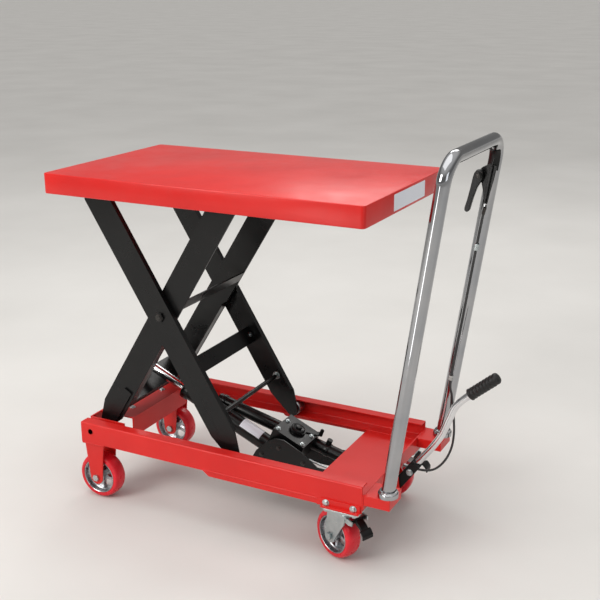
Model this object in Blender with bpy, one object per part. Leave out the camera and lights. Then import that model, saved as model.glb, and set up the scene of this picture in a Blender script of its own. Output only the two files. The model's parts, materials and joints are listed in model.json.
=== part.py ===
"""Foot-pumped scissor lift table: red deck and wheeled base, black scissor arms, chrome push handle.

Metres, +Z up, +X towards the push handle. The origin is on the floor under the middle of the bounding box.
Every position below is measured from the middle of the deck, and the root empty carries the offset.
"""

from math import acos, atan2, cos, degrees, hypot, pi, radians, sin

import bmesh
import bpy
from mathutils import Matrix, Vector

# ---------------------------------------------------------------- driving dimensions
GAP = 0.0003                      # clearance between touching pieces
DECK_CENTRE_X = -0.11912           # deck centre, from the middle of the bounding box
DECK_LENGTH, DECK_WIDTH, DECK_DEPTH = 0.850, 0.500, 0.050
DECK_TOP_Z = 0.886
DECK_PLATE = 0.003

RAIL_X0, RAIL_X1 = -0.398, 0.412  # base rails, end to end
RAIL_OUT_Y = 0.2085               # outer face of a rail
RAIL_TOP_Z, RAIL_LOW_Z = 0.2194, 0.1633
RAIL_WEB = 0.004
RAIL_FLANGE = 0.003
SHELF_EDGE_Y = 0.168              # inner edge of the roller shelf

ROLLER_R = 0.018
ARM_ANGLE = radians(58.5)         # lift of the arms at rest
ARM_HALF = 0.39213                # centre shaft to end pivot
ARM_WIDTH = 0.070
ARM_PLATE = 0.005
ARM_NOSE_R = 0.0165
PIVOT_X = -0.368                  # fixed pivots, at the base and under the deck
BASE_PIVOT_Z = 0.196
OUTER_ARM_Y = 0.160               # outer faces of the outer and the inner pair
INNER_ARM_Y = 0.142

WHEEL_R, WHEEL_WIDTH = 0.062, 0.042
FIXED_WHEEL_X, FIXED_WHEEL_Y = -0.3615, 0.1745
CASTER_X, CASTER_Y = 0.3655, 0.179
CASTER_TRAIL = 0.035
CASTER_YAW = {"near": radians(-23.9), "far": radians(3.5)}
CASTER_TOP_Z = 0.150

RAM_BASE = (0.125, 0.130)         # pin of the ram on the cradle, x and z
RAM_EYE = (-0.333, 0.3305)        # pin of the piston rod on the torsion beam, x and z
RAM_TUBE_R = 0.023
ROD_R = 0.0125
RAM_PIN_R = 0.007
PLUNGER_Z = 0.112

HANDLE_R = 0.016
HANDLE_Y = 0.185
HANDLE_BASE = (0.466, 0.2024)     # foot of the handle legs, x and z
HANDLE_TOP_Z = 0.982
HANDLE_LEAN = 0.140               # run in x for each metre of rise
HANDLE_BEND_R = 0.055

PEDAL_PIVOT = (0.414, 0.127)
LEVER_PIVOT = (0.541, 0.893)
SIDES = {"near": -1, "far": 1}

arm_rise = ARM_HALF * sin(ARM_ANGLE)
arm_run = ARM_HALF * cos(ARM_ANGLE)
CENTRE_X, CENTRE_Z = PIVOT_X + arm_run, BASE_PIVOT_Z + arm_rise
TOP_PIVOT_Z = BASE_PIVOT_Z + 2 * arm_rise
shelf_top = BASE_PIVOT_Z - ROLLER_R - GAP
ram_length = hypot(RAM_BASE[0] - RAM_EYE[0], RAM_EYE[1] - RAM_BASE[1])
ram_slope = atan2(RAM_EYE[1] - RAM_BASE[1], RAM_BASE[0] - RAM_EYE[0])


# ---------------------------------------------------------------- scene and materials
def clear_scene():
    for old in list(bpy.data.objects):
        bpy.data.objects.remove(old, do_unlink=True)


def principled(name, colour, roughness, metallic):
    made = bpy.data.materials.new(name)
    made.use_nodes = True
    shader = made.node_tree.nodes["Principled BSDF"]
    shader.inputs["Base Color"].default_value = (*colour, 1.0)
    shader.inputs["Roughness"].default_value = roughness
    shader.inputs["Metallic"].default_value = metallic
    made.diffuse_color = (*colour, 1.0)
    return made


FINISHES = {
    "red_paint": ((0.70, 0.025, 0.02), 0.32, 0.0),
    "black_paint": ((0.012, 0.012, 0.014), 0.38, 0.0),
    "chrome": ((0.78, 0.78, 0.80), 0.12, 1.0),
    "zinc": ((0.55, 0.57, 0.58), 0.38, 1.0),
    "aluminium": ((0.66, 0.67, 0.69), 0.40, 1.0),
    "tyre": ((0.62, 0.03, 0.03), 0.45, 0.0),
    "rubber": ((0.015, 0.015, 0.015), 0.60, 0.0),
}


def finish(slot, piece_name):
    """A material of the piece's own, in one of the shared finishes."""
    colour, roughness, metallic = FINISHES[slot]
    return principled(f"{slot}_{piece_name}", colour, roughness, metallic)


# ---------------------------------------------------------------- building blocks
def empty(name, location, parent=None, rotation=(0, 0, 0)):
    made = bpy.data.objects.new(name, None)
    made.location = location
    made.rotation_euler = rotation
    made.parent = parent
    bpy.context.collection.objects.link(made)
    return made


def add_piece(name, bm, slot, parent, location=(0, 0, 0), rotation=(0, 0, 0), smooth=False):
    """Turn a bmesh into a named object with a material of its own."""
    bmesh.ops.recalc_face_normals(bm, faces=bm.faces)
    mesh = bpy.data.meshes.new(name)
    bm.to_mesh(mesh)
    bm.free()
    if smooth:
        mesh.shade_smooth()
        mesh.set_sharp_from_angle(angle=radians(35))
    made = bpy.data.objects.new(name, mesh)
    if slot:
        mesh.materials.append(finish(slot, name))
    made.location = location
    made.rotation_euler = rotation
    made.parent = parent
    bpy.context.collection.objects.link(made)
    return made


def combine(piece, operation, *shapes):
    """Weld helper shapes to a piece, or cut them out of it, in the piece's own frame."""
    for i, bm in enumerate(shapes):
        helper = add_piece(f"{piece.name}_{operation.lower()}_{len(piece.modifiers)}_{i}", bm, None, piece)
        helper.hide_render = True
        helper.display_type = "WIRE"
        modifier = piece.modifiers.new(operation.lower(), "BOOLEAN")
        modifier.operation = operation
        modifier.solver = "EXACT"
        modifier.object = helper
    return piece


def weld(piece, *shapes):
    return combine(piece, "UNION", *shapes)


def cut(piece, *shapes):
    return combine(piece, "DIFFERENCE", *shapes)


def soften(piece, width, segments=1, angle=40):
    """A small bevel on the sharp edges."""
    modifier = piece.modifiers.new("edge", "BEVEL")
    modifier.width = width
    modifier.segments = segments
    modifier.limit_method = "ANGLE"
    modifier.angle_limit = radians(angle)
    return piece


def slab(outline, low, high, axis="Y"):
    """A flat outline pushed along an axis: (x, z) along Y, (y, z) along X or (x, y) along Z."""
    bm = bmesh.new()
    spread = {"X": lambda a, b: (low, a, b), "Y": lambda a, b: (a, low, b), "Z": lambda a, b: (a, b, low)}
    shift = {"X": (high - low, 0, 0), "Y": (0, high - low, 0), "Z": (0, 0, high - low)}
    face = bm.faces.new([bm.verts.new(spread[axis](a, b)) for a, b in outline])
    pushed = bmesh.ops.extrude_face_region(bm, geom=[face])
    moved = [v for v in pushed["geom"] if isinstance(v, bmesh.types.BMVert)]
    bmesh.ops.translate(bm, verts=moved, vec=shift[axis])
    return bm


def block(x0, x1, y0, y1, z0, z1):
    return slab([(x0, z0), (x1, z0), (x1, z1), (x0, z1)], min(y0, y1), max(y0, y1))


def arc(centre, radius, start, stop, steps):
    """Points of an arc, angles in degrees."""
    cx, cy = centre
    angles = [radians(start + (stop - start) * i / steps) for i in range(steps + 1)]
    return [(cx + radius * cos(a), cy + radius * sin(a)) for a in angles]


def rounded_rectangle(x0, x1, y0, y1, radius, steps=3):
    corners = [(x1 - radius, y1 - radius, 0), (x0 + radius, y1 - radius, 90),
               (x0 + radius, y0 + radius, 180), (x1 - radius, y0 + radius, 270)]
    return [p for cx, cy, a in corners for p in arc((cx, cy), radius, a, a + 90, steps)]


def disc(centre, radius, low, high, axis="Y", steps=24):
    """A round bar along an axis."""
    return slab(arc(centre, radius, 0, 360 - 360 / steps, steps - 1), low, high, axis)


def turned(profile, axis="Y", centre=(0, 0, 0), steps=32):
    """A closed (radius, height) profile spun round an axis. It is a ring where no radius is zero."""
    bm = bmesh.new()
    loop = [bm.verts.new((r, 0, h)) for r, h in profile]
    edges = [bm.edges.new((loop[i], loop[(i + 1) % len(loop)])) for i in range(len(loop))]
    bmesh.ops.spin(bm, geom=loop + edges, cent=(0, 0, 0), axis=(0, 0, 1), dvec=(0, 0, 0),
                   angle=2 * pi, steps=steps, use_merge=True)
    bmesh.ops.remove_doubles(bm, verts=bm.verts, dist=1e-6)
    turn = {"X": Matrix.Rotation(pi / 2, 4, "Y"), "Y": Matrix.Rotation(-pi / 2, 4, "X"),
            "Z": Matrix.Identity(4)}
    bm.transform(Matrix.Translation(centre) @ turn[axis])
    return bm


def tube(name, points, radius, slot, parent, resolution=4):
    """A swept round bar with closed ends."""
    curve = bpy.data.curves.new(name, "CURVE")
    curve.dimensions = "3D"
    curve.bevel_depth = radius
    curve.bevel_resolution = resolution
    curve.use_fill_caps = True
    spline = curve.splines.new("POLY")
    spline.points.add(len(points) - 1)
    for target, point in zip(spline.points, points):
        target.co = (*point, 1.0)
    spline.use_smooth = True
    made = bpy.data.objects.new(name, curve)
    curve.materials.append(finish(slot, name))
    made.parent = parent
    bpy.context.collection.objects.link(made)
    return made


def smooth_route(knots, count):
    """Points at even spacing on a Catmull-Rom curve through the knots."""
    guides = [Vector(k) for k in knots]
    guides = [2 * guides[0] - guides[1], *guides, 2 * guides[-1] - guides[-2]]
    dense = []
    for p0, p1, p2, p3 in zip(guides, guides[1:], guides[2:], guides[3:]):
        for i in range(24):
            t = i / 24
            dense.append(0.5 * (2 * p1 + (p2 - p0) * t + (2 * p0 - 5 * p1 + 4 * p2 - p3) * t * t
                                + (3 * p1 - p0 - 3 * p2 + p3) * t * t * t))
    dense.append(guides[-2])
    lengths = [0.0]
    for a, b in zip(dense, dense[1:]):
        lengths.append(lengths[-1] + (b - a).length)
    route, j = [], 0
    for i in range(count):
        wanted = lengths[-1] * i / (count - 1)
        while j < len(dense) - 2 and lengths[j + 1] < wanted:
            j += 1
        share = (wanted - lengths[j]) / (lengths[j + 1] - lengths[j])
        route.append(dense[j].lerp(dense[j + 1], share))
    return route


# ---------------------------------------------------------------- base frame
def build_rail(root, side_name, side):
    """Roller channel: web, top flange and roller shelf, with a lip and a caster mount at the handle end."""
    outer, inner = side * RAIL_OUT_Y, side * (RAIL_OUT_Y - RAIL_WEB)
    flange_edge, shelf_edge = side * 0.1785, side * SHELF_EDGE_Y
    bend = 0.004
    corner = arc((RAIL_OUT_Y - bend, RAIL_TOP_Z - bend), bend, 0, 90, 3)
    flange_low, shelf_low = RAIL_TOP_Z - RAIL_FLANGE, shelf_top - RAIL_FLANGE
    profile = [(outer, RAIL_LOW_Z), *[(side * y, z) for y, z in corner], (flange_edge, RAIL_TOP_Z),
               (flange_edge, flange_low), (inner, flange_low), (inner, shelf_top),
               (shelf_edge, shelf_top), (shelf_edge, shelf_low), (inner, shelf_low), (inner, RAIL_LOW_Z)]
    rail = add_piece(f"base_rail_{side_name}", slab(profile, RAIL_X0, RAIL_X1, "X"), "red_paint", root)
    low, end = CASTER_TOP_Z + GAP, RAIL_X1 - 0.001
    lip = slab([(-0.031, 0.172), (-0.006, low), (end, low), (end, 0.172)],
               side * (RAIL_OUT_Y - 0.0005), side * (RAIL_OUT_Y - RAIL_WEB - 0.0005))
    mount = block(0.311, 0.4085, side * 0.134, side * 0.2215, low, low + 0.0045)
    backing = slab([(0.297, low + 0.001), (0.408, low + 0.001), (0.408, 0.170), (0.308, 0.170)],
                   side * 0.2125, side * (RAIL_OUT_Y - 0.001))
    weld(rail, lip, mount, backing)
    cut(rail, disc((PIVOT_X, BASE_PIVOT_Z), 0.0083, side * 0.19, side * 0.22))
    return rail


def build_front_crossmember(root):
    """Inverted channel between the rails, open at both ends for the feet of the inner arms."""
    x0, x1 = RAIL_X0, -0.288
    end, mid, web = SHELF_EDGE_Y - GAP, 0.126, 0.004
    z0, z1 = RAIL_LOW_Z, RAIL_TOP_Z
    piece = add_piece("front_crossmember", block(x0, x0 + web, -end, end, z0, z1), "red_paint", root)
    cheeks = [block(x0 + 0.001, x1, side * 0.1635, side * end, z0 + 0.001, z1 - 0.001)
              for side in SIDES.values()]
    weld(piece, block(x0 + 0.001, x1, -mid, mid, z1 - 0.0035, z1),
         block(x1 - web, x1, -mid, mid, z0 + 0.001, z1 - 0.001), *cheeks)
    cut(piece, disc((PIVOT_X, BASE_PIVOT_Z), 0.0083, -0.17, 0.17))
    return soften(piece, 0.0008)


def build_rear_plate(root):
    """Floor between the roller shelves and the end wall, with two ears that carry the pedal pin."""
    x0, wall0, wall1 = 0.262, RAIL_X1 + GAP, RAIL_X1 + GAP + 0.0032
    floor_half = SHELF_EDGE_Y - GAP
    floor = block(x0, wall1 - 0.001, -floor_half, floor_half, shelf_top - 0.003, shelf_top)
    plate = add_piece("rear_plate", floor, "red_paint", root)
    weld(plate, block(wall0, wall1, -RAIL_OUT_Y, RAIL_OUT_Y, RAIL_LOW_Z, 0.200))
    px, pz = PEDAL_PIVOT
    for side in SIDES.values():
        ear = slab([(px - 0.026, 0.1755), *arc((px, pz), 0.016, 185, 355, 8), (px + 0.012, 0.160),
                    (px + 0.001, 0.176)], side * 0.0145, side * 0.0185)
        weld(plate, ear)
    weld(plate, disc((px, pz), 0.0055, -0.0175, 0.0175, steps=16))
    return plate


def build_handle_socket(root, side_name, side):
    """Folded platform on the end wall that the handle leg stands on."""
    x0, x1, z0, z1 = RAIL_X1 + 0.0038, 0.4805, 0.1740, 0.1997
    y_in, y_out, t = 0.136, RAIL_OUT_Y, 0.003
    piece = add_piece(f"handle_socket_{side_name}", block(x0, x1, side * y_in, side * y_out, z0, z1),
                      "red_paint", root)
    cut(piece, block(x0 + t, x1 - t, side * (y_in + t), side * (y_out - t), z0 - 0.01, z1 - t))
    return soften(piece, 0.0008)


def build_fixed_fork(root, side_name, side):
    """Pressed fork of a fixed caster: top plate and two cheeks."""
    x, y = FIXED_WHEEL_X, side * FIXED_WHEEL_Y
    top, t = RAIL_LOW_Z - GAP, 0.0035
    crown = block(-0.397, -0.327, side * 0.128, side * 0.2085, top - t, top)
    piece = add_piece(f"fixed_fork_{side_name}", crown, "red_paint", root)
    cheek = [(-0.392, top - 0.001), *arc((x, WHEEL_R), 0.019, 190, 350, 8), (-0.333, top - 0.001)]
    for offset in (-1, 1):
        weld(piece, slab(cheek, y + offset * 0.0255, y + offset * 0.029))
    cut(piece, disc((x, WHEEL_R), 0.0053, y - 0.04, y + 0.04))
    return piece


def build_pump_cradle(root):
    """Black side plates, the near one taller, with the pin of the ram's foot and the plunger's guide."""
    bx, bz = RAM_BASE
    under = shelf_top - 0.003 - GAP
    base = [(0.266, 0.156), (0.275, under), (0.335, under), (0.335, 0.100), (0.090, 0.100), (0.050, 0.112)]
    low_top = [(0.034, 0.146), (0.050, 0.164), (0.200, 0.150)]
    tall_top = [(0.034, 0.146), (0.046, 0.168), (0.075, 0.196), (0.100, 0.212), (0.128, 0.212), (0.175, 0.1895),
                (0.222, 0.1565)]
    near, far, t = -0.056, 0.074, 0.004
    piece = add_piece("pump_cradle", slab([*tall_top, *base], near, near + t), "black_paint", root)
    weld(piece, slab([*low_top, *base], far - t, far),
         block(0.300, 0.330, near + 0.001, far - 0.001, 0.1005, 0.124),
         block(0.060, 0.095, near + 0.001, far - 0.001, 0.1025, 0.1065),
         disc((bx, bz), RAM_PIN_R, near + 0.001, far - 0.001, steps=20))
    cut(piece, disc((0, PLUNGER_Z), 0.0065, 0.29, 0.34, "X", 16))
    return piece


# ---------------------------------------------------------------- wheels
def build_wheel(prefix, axle):
    """Red tyre on a spoked hub, both centred on the axle empty; the axle runs along the empty's Y."""
    half = WHEEL_WIDTH / 2
    rim_r = 0.0475
    tread = [(WHEEL_R * 0.994, half * 0.40), (WHEEL_R * 0.965, half * 0.80), (WHEEL_R * 0.905, half * 0.99),
             (rim_r + GAP, half)]
    profile = [*[(r, -h) for r, h in reversed(tread)], (WHEEL_R, 0.0), *tread]
    add_piece(f"{prefix}_tyre", turned(profile, "Y", steps=36), "tyre", axle, smooth=True)
    rim = [(rim_r, -0.0195), (rim_r, 0.0195), (0.0435, 0.0205), (0.0400, 0.0060), (0.0400, -0.0060),
           (0.0435, -0.0205)]
    hub = add_piece(f"{prefix}_hub", turned(rim, "Y", steps=30), "aluminium", axle, smooth=True)
    core = [(0.0056, -0.023), (0.0140, -0.023), (0.0170, -0.010), (0.0170, 0.010), (0.0140, 0.023),
            (0.0056, 0.023)]
    weld(hub, turned(core, "Y", steps=16))
    for i in range(5):
        spoke = slab([(0.0155, -0.0055), (0.0410, -0.0042), (0.0410, 0.0042), (0.0155, 0.0055)],
                     -0.005, 0.005)
        spoke.transform(Matrix.Rotation(radians(72 * i + 90), 4, "Y"))
        weld(hub, spoke)


def build_axle(name, parent, centre, half):
    """Axle bolt through a fork, with a hexagon at each end."""
    x, y, z = centre
    bolt = add_piece(name, disc((x, z), 0.0050, y - half - 0.001, y + half + 0.001, steps=16), "zinc", parent)
    for side in (-1, 1):
        weld(bolt, slab(arc((x, z), 0.0095, 0, 300, 5), y + side * half, y + side * (half + 0.0065)))
    return bolt


def build_caster(root, side_name, side):
    """Braked swivel caster; everything below its plate hangs on the swivel empty."""
    top, y = CASTER_TOP_Z, side * CASTER_Y
    square = slab(rounded_rectangle(0.314, 0.4075, y - 0.043, y + 0.043, 0.008), top - 0.0045, top, "Z")
    plate = add_piece(f"caster_plate_{side_name}", square, "zinc", root)
    weld(plate, disc((CASTER_X, y), 0.031, top - 0.012, top - 0.004, "Z", 28))
    swivel = empty(f"swivel_{side_name}", (CASTER_X, y, 0), root, (0, 0, CASTER_YAW[side_name]))
    crown = 0.1330
    race = disc((0, 0), 0.0285, crown, top - 0.012 - GAP, "Z", 28)
    fork = add_piece(f"swivel_fork_{side_name}", race, "zinc", swivel)
    ax = -CASTER_TRAIL
    cheek = [(-0.044, crown), (-0.0455, 0.110), *arc((ax, WHEEL_R), 0.018, 190, 345, 8), (0.002, 0.092),
             (0.014, 0.110), (0.018, crown)]
    weld(fork, block(-0.044, 0.022, -0.0285, 0.0285, crown - 0.0035, crown + 0.001),
         slab(cheek, -0.0285, -0.0250), slab(cheek, 0.0250, 0.0285))
    cut(fork, disc((ax, WHEEL_R), 0.0053, -0.04, 0.04))
    build_axle(f"swivel_axle_{side_name}", swivel, (ax, 0, WHEEL_R), 0.0285 + GAP)
    axle = empty(f"swivel_wheel_{side_name}", (ax, 0, WHEEL_R), swivel)
    build_wheel(f"swivel_{side_name}", axle)
    hinge = empty(f"brake_hinge_{side_name}", (0.0335, 0, 0.1235), swivel)
    tread = [(-0.004, 0.0035), (0.004, 0.0045), (0.018, -0.006), (0.034, -0.024), (0.036, -0.034),
             (0.031, -0.034), (0.028, -0.026), (0.014, -0.012), (0.000, -0.0045)]
    brake = add_piece(f"brake_pedal_{side_name}", slab(tread, -0.016, 0.016), "black_paint", hinge)
    weld(brake, disc((0, 0), 0.0045, -0.021, 0.021, steps=16))
    for offset in (-1, 1):
        ear = slab([(0.010, crown), (0.040, 0.1285), (0.040, 0.118), (0.028, 0.116), (0.010, 0.120)],
                   offset * 0.0220, offset * 0.0255)
        weld(fork, ear)


# ---------------------------------------------------------------- scissor arms
def arm_outline(high_starts, low_starts=(0.045, 0.045)):
    """Side view of an arm as (distance along, offset to its upper edge).

    Each corner is cut by a straight chamfer down to a round nose on the pivot. The starts are how far
    from its pivot each chamfer leaves the edge: long enough to clear the deck and the rear plate when the
    arms are folded.
    """
    half, length = ARM_WIDTH / 2, 2 * ARM_HALF

    def end(high_start, low_start):
        touch = {}
        for key, start in (("high", high_start), ("low", low_start)):
            touch[key] = degrees(atan2(half, start) + acos(ARM_NOSE_R / hypot(half, start)))
        nose = arc((0, 0), ARM_NOSE_R, 360 - touch["low"], touch["high"], 8)
        return [(low_start, -half), *nose, (high_start, half)]

    first, last = [end(*starts) for starts in zip(high_starts, low_starts)]
    return [*first, *[(length - s, m) for s, m in reversed(last)]]


def inner_frame(points):
    """Arm coordinates to x and z from the base pivot."""
    c, s = cos(ARM_ANGLE), sin(ARM_ANGLE)
    return [(d * c - m * s, d * s + m * c) for d, m in points]


def outer_frame(points):
    """Arm coordinates, measured from the pivot under the deck, to x and z from the centre."""
    c, s = cos(ARM_ANGLE), sin(ARM_ANGLE)
    return [((d - ARM_HALF) * c + m * s, -(d - ARM_HALF) * s + m * c) for d, m in points]


def strip(d0, d1, m0, m1):
    return [(d0, m0), (d1, m0), (d1, m1), (d0, m1)]


def build_inner_arms(root):
    """The pair that turns on the base pivot and carries the ram, with the rollers under the deck."""
    body = empty("inner_arms", (PIVOT_X, 0, BASE_PIVOT_Z), root)
    half, length = ARM_WIDTH / 2, 2 * ARM_HALF
    outer, inner = INNER_ARM_Y, INNER_ARM_Y - ARM_PLATE
    plate = inner_frame(arm_outline((0.060, 0.068)))
    flange = inner_frame(strip(0.105, 0.360, -half + 0.0004, -half + 0.0044))
    doubler = inner_frame([(0.010, -0.002), (0.013, -0.0175), (0.036, -0.026), (0.136, -0.026),
                           (0.136, -0.002)])
    tip_x, tip_z = inner_frame([(length, 0)])[0]
    mid_x, mid_z = inner_frame([(ARM_HALF, 0)])[0]
    for side_name, side in SIDES.items():
        arm = add_piece(f"inner_arm_{side_name}", slab(plate, side * inner, side * outer), "black_paint", body)
        weld(arm,
             slab(flange, side * 0.114, side * (inner + 0.001)),
             slab(doubler, side * (outer - 0.001), side * 0.147),
             disc((tip_x, tip_z), 0.010, side * (outer - 0.001), side * 0.1675, steps=20),
             disc((tip_x, tip_z), 0.006, side * 0.160, side * 0.2005, steps=16))
        cut(arm, disc((0, 0), 0.0083, side * 0.13, side * 0.15, steps=20),
            disc((mid_x, mid_z), 0.0093, side * 0.13, side * 0.15, steps=20))
        build_roller(f"upper_roller_{side_name}", body, (tip_x, side * 0.184, tip_z))
    build_torsion_beam(body, inner - GAP)
    brace = slab(inner_frame(strip(0.440, 0.470, -0.035, -0.031)), -inner + GAP, inner - GAP)
    add_piece("upper_brace", brace, "black_paint", body)
    return body


def build_torsion_beam(body, reach):
    """Channel between the inner arms, with two slotted lugs that take the pin of the piston rod."""
    beam = add_piece("torsion_beam", slab(inner_frame(strip(0.099, 0.103, -0.034, 0.033)), -reach, reach),
                     "black_paint", body)
    flanges = [inner_frame(strip(0.086, 0.102, m, m + 0.004)) for m in (-0.034, 0.029)]
    weld(beam, *[slab(flange, -reach, reach) for flange in flanges])
    lug = inner_frame([(0.102, 0.014), (0.150, 0.014), (0.158, 0.022), (0.158, 0.058), (0.150, 0.066),
                       (0.102, 0.066)])
    slot = inner_frame(strip(0.1140, 0.1430, 0.0286, 0.0483))
    for side in SIDES.values():
        weld(beam, slab(lug, side * 0.0145, side * 0.0195))
    cut(beam, slab(slot, -0.03, 0.03))


def build_outer_arms(inner_body):
    """The pair with the rollers in the base rails, hung on the centre pins and carrying the deck."""
    rise = Vector((CENTRE_X - PIVOT_X, 0, CENTRE_Z - BASE_PIVOT_Z))
    body = empty("outer_arms", rise, inner_body)
    half, length = ARM_WIDTH / 2, 2 * ARM_HALF
    outer, inner = OUTER_ARM_Y, OUTER_ARM_Y - ARM_PLATE
    plate = outer_frame(arm_outline((0.068, 0.050), (0.045, 0.068)))
    flange = outer_frame(strip(0.075, length - 0.056, half - 0.0044, half - 0.0004))
    top_x, top_z = outer_frame([(0, 0)])[0]
    foot_x, foot_z = outer_frame([(length, 0)])[0]
    for side_name, side in SIDES.items():
        arm = add_piece(f"outer_arm_{side_name}", slab(plate, side * inner, side * outer), "black_paint", body)
        weld(arm,
             slab(flange, side * 0.1445, side * (inner + 0.001)),
             disc((foot_x, foot_z), 0.010, side * (outer - 0.001), side * 0.1675, steps=20),
             disc((foot_x, foot_z), 0.006, side * 0.162, side * 0.2005, steps=16))
        cut(arm, disc((0, 0), 0.0093, side * 0.15, side * 0.17, steps=20),
            disc((top_x, top_z), 0.0103, side * 0.15, side * 0.17, steps=20))
        shank = disc((0, 0), 0.009, side * 0.1365, side * 0.1608, steps=20)
        pin = add_piece(f"centre_pin_{side_name}", shank, "zinc", body)
        weld(pin, slab(arc((0, 0), 0.013, 0, 300, 5), side * 0.1603, side * 0.1655))
        build_roller(f"lower_roller_{side_name}", body, (foot_x, side * 0.184, foot_z))
    reach = inner - GAP
    web = slab(outer_frame(strip(0.522, 0.567, -0.002, 0.002)), -reach, reach)
    brace = add_piece("brace_plate", web, "black_paint", body)
    edges = [outer_frame(strip(d, d + 0.004, -0.012, 0.001)) for d in (0.522, 0.563)]
    weld(brace, *[slab(edge, -reach, reach) for edge in edges])
    rod_x, rod_z = outer_frame([(0.678, 0.009)])[0]
    add_piece("tie_rod", disc((rod_x, rod_z), 0.006, -reach, reach, steps=16), "black_paint", body)
    add_piece("top_pivot_shaft", disc((top_x, top_z), 0.010, -0.168, 0.168, steps=24), "zinc", body)
    return body


def build_roller(name, parent, centre):
    """Steel roller centred on its own origin."""
    profile = [(0.0063, -0.016), (0.0165, -0.016), (ROLLER_R, -0.0145), (ROLLER_R, 0.0145), (0.0165, 0.016),
               (0.0063, 0.016)]
    return add_piece(name, turned(profile, "Y", steps=28), "zinc", parent, location=centre, smooth=True)


# ---------------------------------------------------------------- deck
def build_deck(outer_body):
    """Folded tray with the roller tracks inside its long edges and the pivot cheeks at one end."""
    hinge = Vector((PIVOT_X - CENTRE_X, 0, TOP_PIVOT_Z - CENTRE_Z))
    body = empty("deck", hinge, outer_body)
    centre = empty("deck_centre", (-PIVOT_X, 0, -TOP_PIVOT_Z), body)
    x, y, low, t = DECK_LENGTH / 2, DECK_WIDTH / 2, DECK_TOP_Z - DECK_DEPTH, DECK_PLATE
    block_out = slab(rounded_rectangle(-x, x, -y, y, 0.010), low, DECK_TOP_Z, "Z")
    tray = add_piece("deck_tray", block_out, "red_paint", centre)
    soften(tray, 0.0022, 2, 60)
    inside = slab(rounded_rectangle(-x + t, x - t, -y + t, y - t, 0.007), low - 0.01, DECK_TOP_Z - t, "Z")
    cut(tray, inside)
    cheek_top = DECK_TOP_Z - t + 0.0005
    cheeks = [block(PIVOT_X - 0.024, PIVOT_X + 0.024, side * 0.1620, side * 0.1665, 0.847, cheek_top)
              for side in SIDES.values()]
    weld(tray, *cheeks)
    cut(tray, disc((PIVOT_X, TOP_PIVOT_Z), 0.0103, -0.175, 0.175))
    track_top = TOP_PIVOT_Z - ROLLER_R - GAP
    wall, roof = y - t - GAP, DECK_TOP_Z - t - GAP
    for side_name, side in SIDES.items():
        corners = [(wall, roof), (wall - t, roof), (wall - t, track_top), (SHELF_EDGE_Y, track_top),
                   (SHELF_EDGE_Y, track_top - t), (wall, track_top - t)]
        angle = [(side * y, z) for y, z in corners]
        add_piece(f"deck_track_{side_name}", slab(angle, -0.335, 0.414, "X"), "red_paint", centre)
    return body


# ---------------------------------------------------------------- ram and pump
def build_ram(root):
    """Cylinder, pump block and reservoir in the ram's frame: X runs back from the rod eye to the foot pin."""
    body = empty("ram", (RAM_BASE[0], 0, RAM_BASE[1]), root, (0, ram_slope, 0))
    tube_end, bore = -0.359, ROD_R + 0.0005
    profile = [(0, 0.014), (RAM_TUBE_R, 0.014), (RAM_TUBE_R, tube_end + 0.019), (0.026, tube_end + 0.019),
               (0.026, tube_end + 0.002), (0.024, tube_end), (bore, tube_end), (bore, -0.085), (0, -0.085)]
    cylinder = add_piece("ram_cylinder", turned(profile, "X", steps=32), "black_paint", body, smooth=True)
    weld(cylinder, disc((0, 0), 0.021, -0.0255, 0.0255, steps=24))
    cut(cylinder, disc((0, 0), RAM_PIN_R + GAP, -0.03, 0.03, steps=20))
    housing = block(-0.074, 0.020, -0.038, 0.060, RAM_TUBE_R + GAP, 0.078)
    pump = add_piece("pump_body", housing, "black_paint", body)
    left, right = Vector((-0.2722, 0.046, 0.0010)), Vector((0.1027, 0.046, 0.0646))
    long = (right - left).length
    reservoir = turned([(0, 0), (0.0165, 0), (0.0165, long), (0, long)], "Z")
    lean = Vector((0, 0, 1)).rotation_difference((right - left).normalized())
    reservoir.transform(Matrix.Translation(left) @ lean.to_matrix().to_4x4())
    weld(pump, reservoir,
         disc((-0.027, 0.012), 0.022, 0.077, 0.085, "Z"),
         disc((0.055, 0.046), 0.0075, 0.050, 0.088, "Z", 16))
    rod = add_piece("piston_rod", disc((0, 0), ROD_R, -ram_length + 0.004, -0.200, "X", 28), "chrome", body)
    weld(rod, disc((-ram_length, 0), 0.018, -0.0125, 0.0125),
         disc((-ram_length, 0), RAM_PIN_R, -0.0215, 0.0215, steps=20),
         disc((-ram_length, 0), 0.0172, 0.0202, 0.0250), disc((-ram_length, 0), 0.0172, -0.0250, -0.0202))
    return body


def build_plunger(root):
    """Push rod from the pedal to the pump, sliding in the cradle's guide."""
    start, face, end = 0.166, 0.3895, 0.3960
    plunger = add_piece("pump_plunger", disc((0, PLUNGER_Z), 0.006, start, face + 0.001, "X", 16), "zinc", root)
    weld(plunger, disc((0, PLUNGER_Z), 0.0105, face, end, "X", 20))
    return plunger


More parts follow.
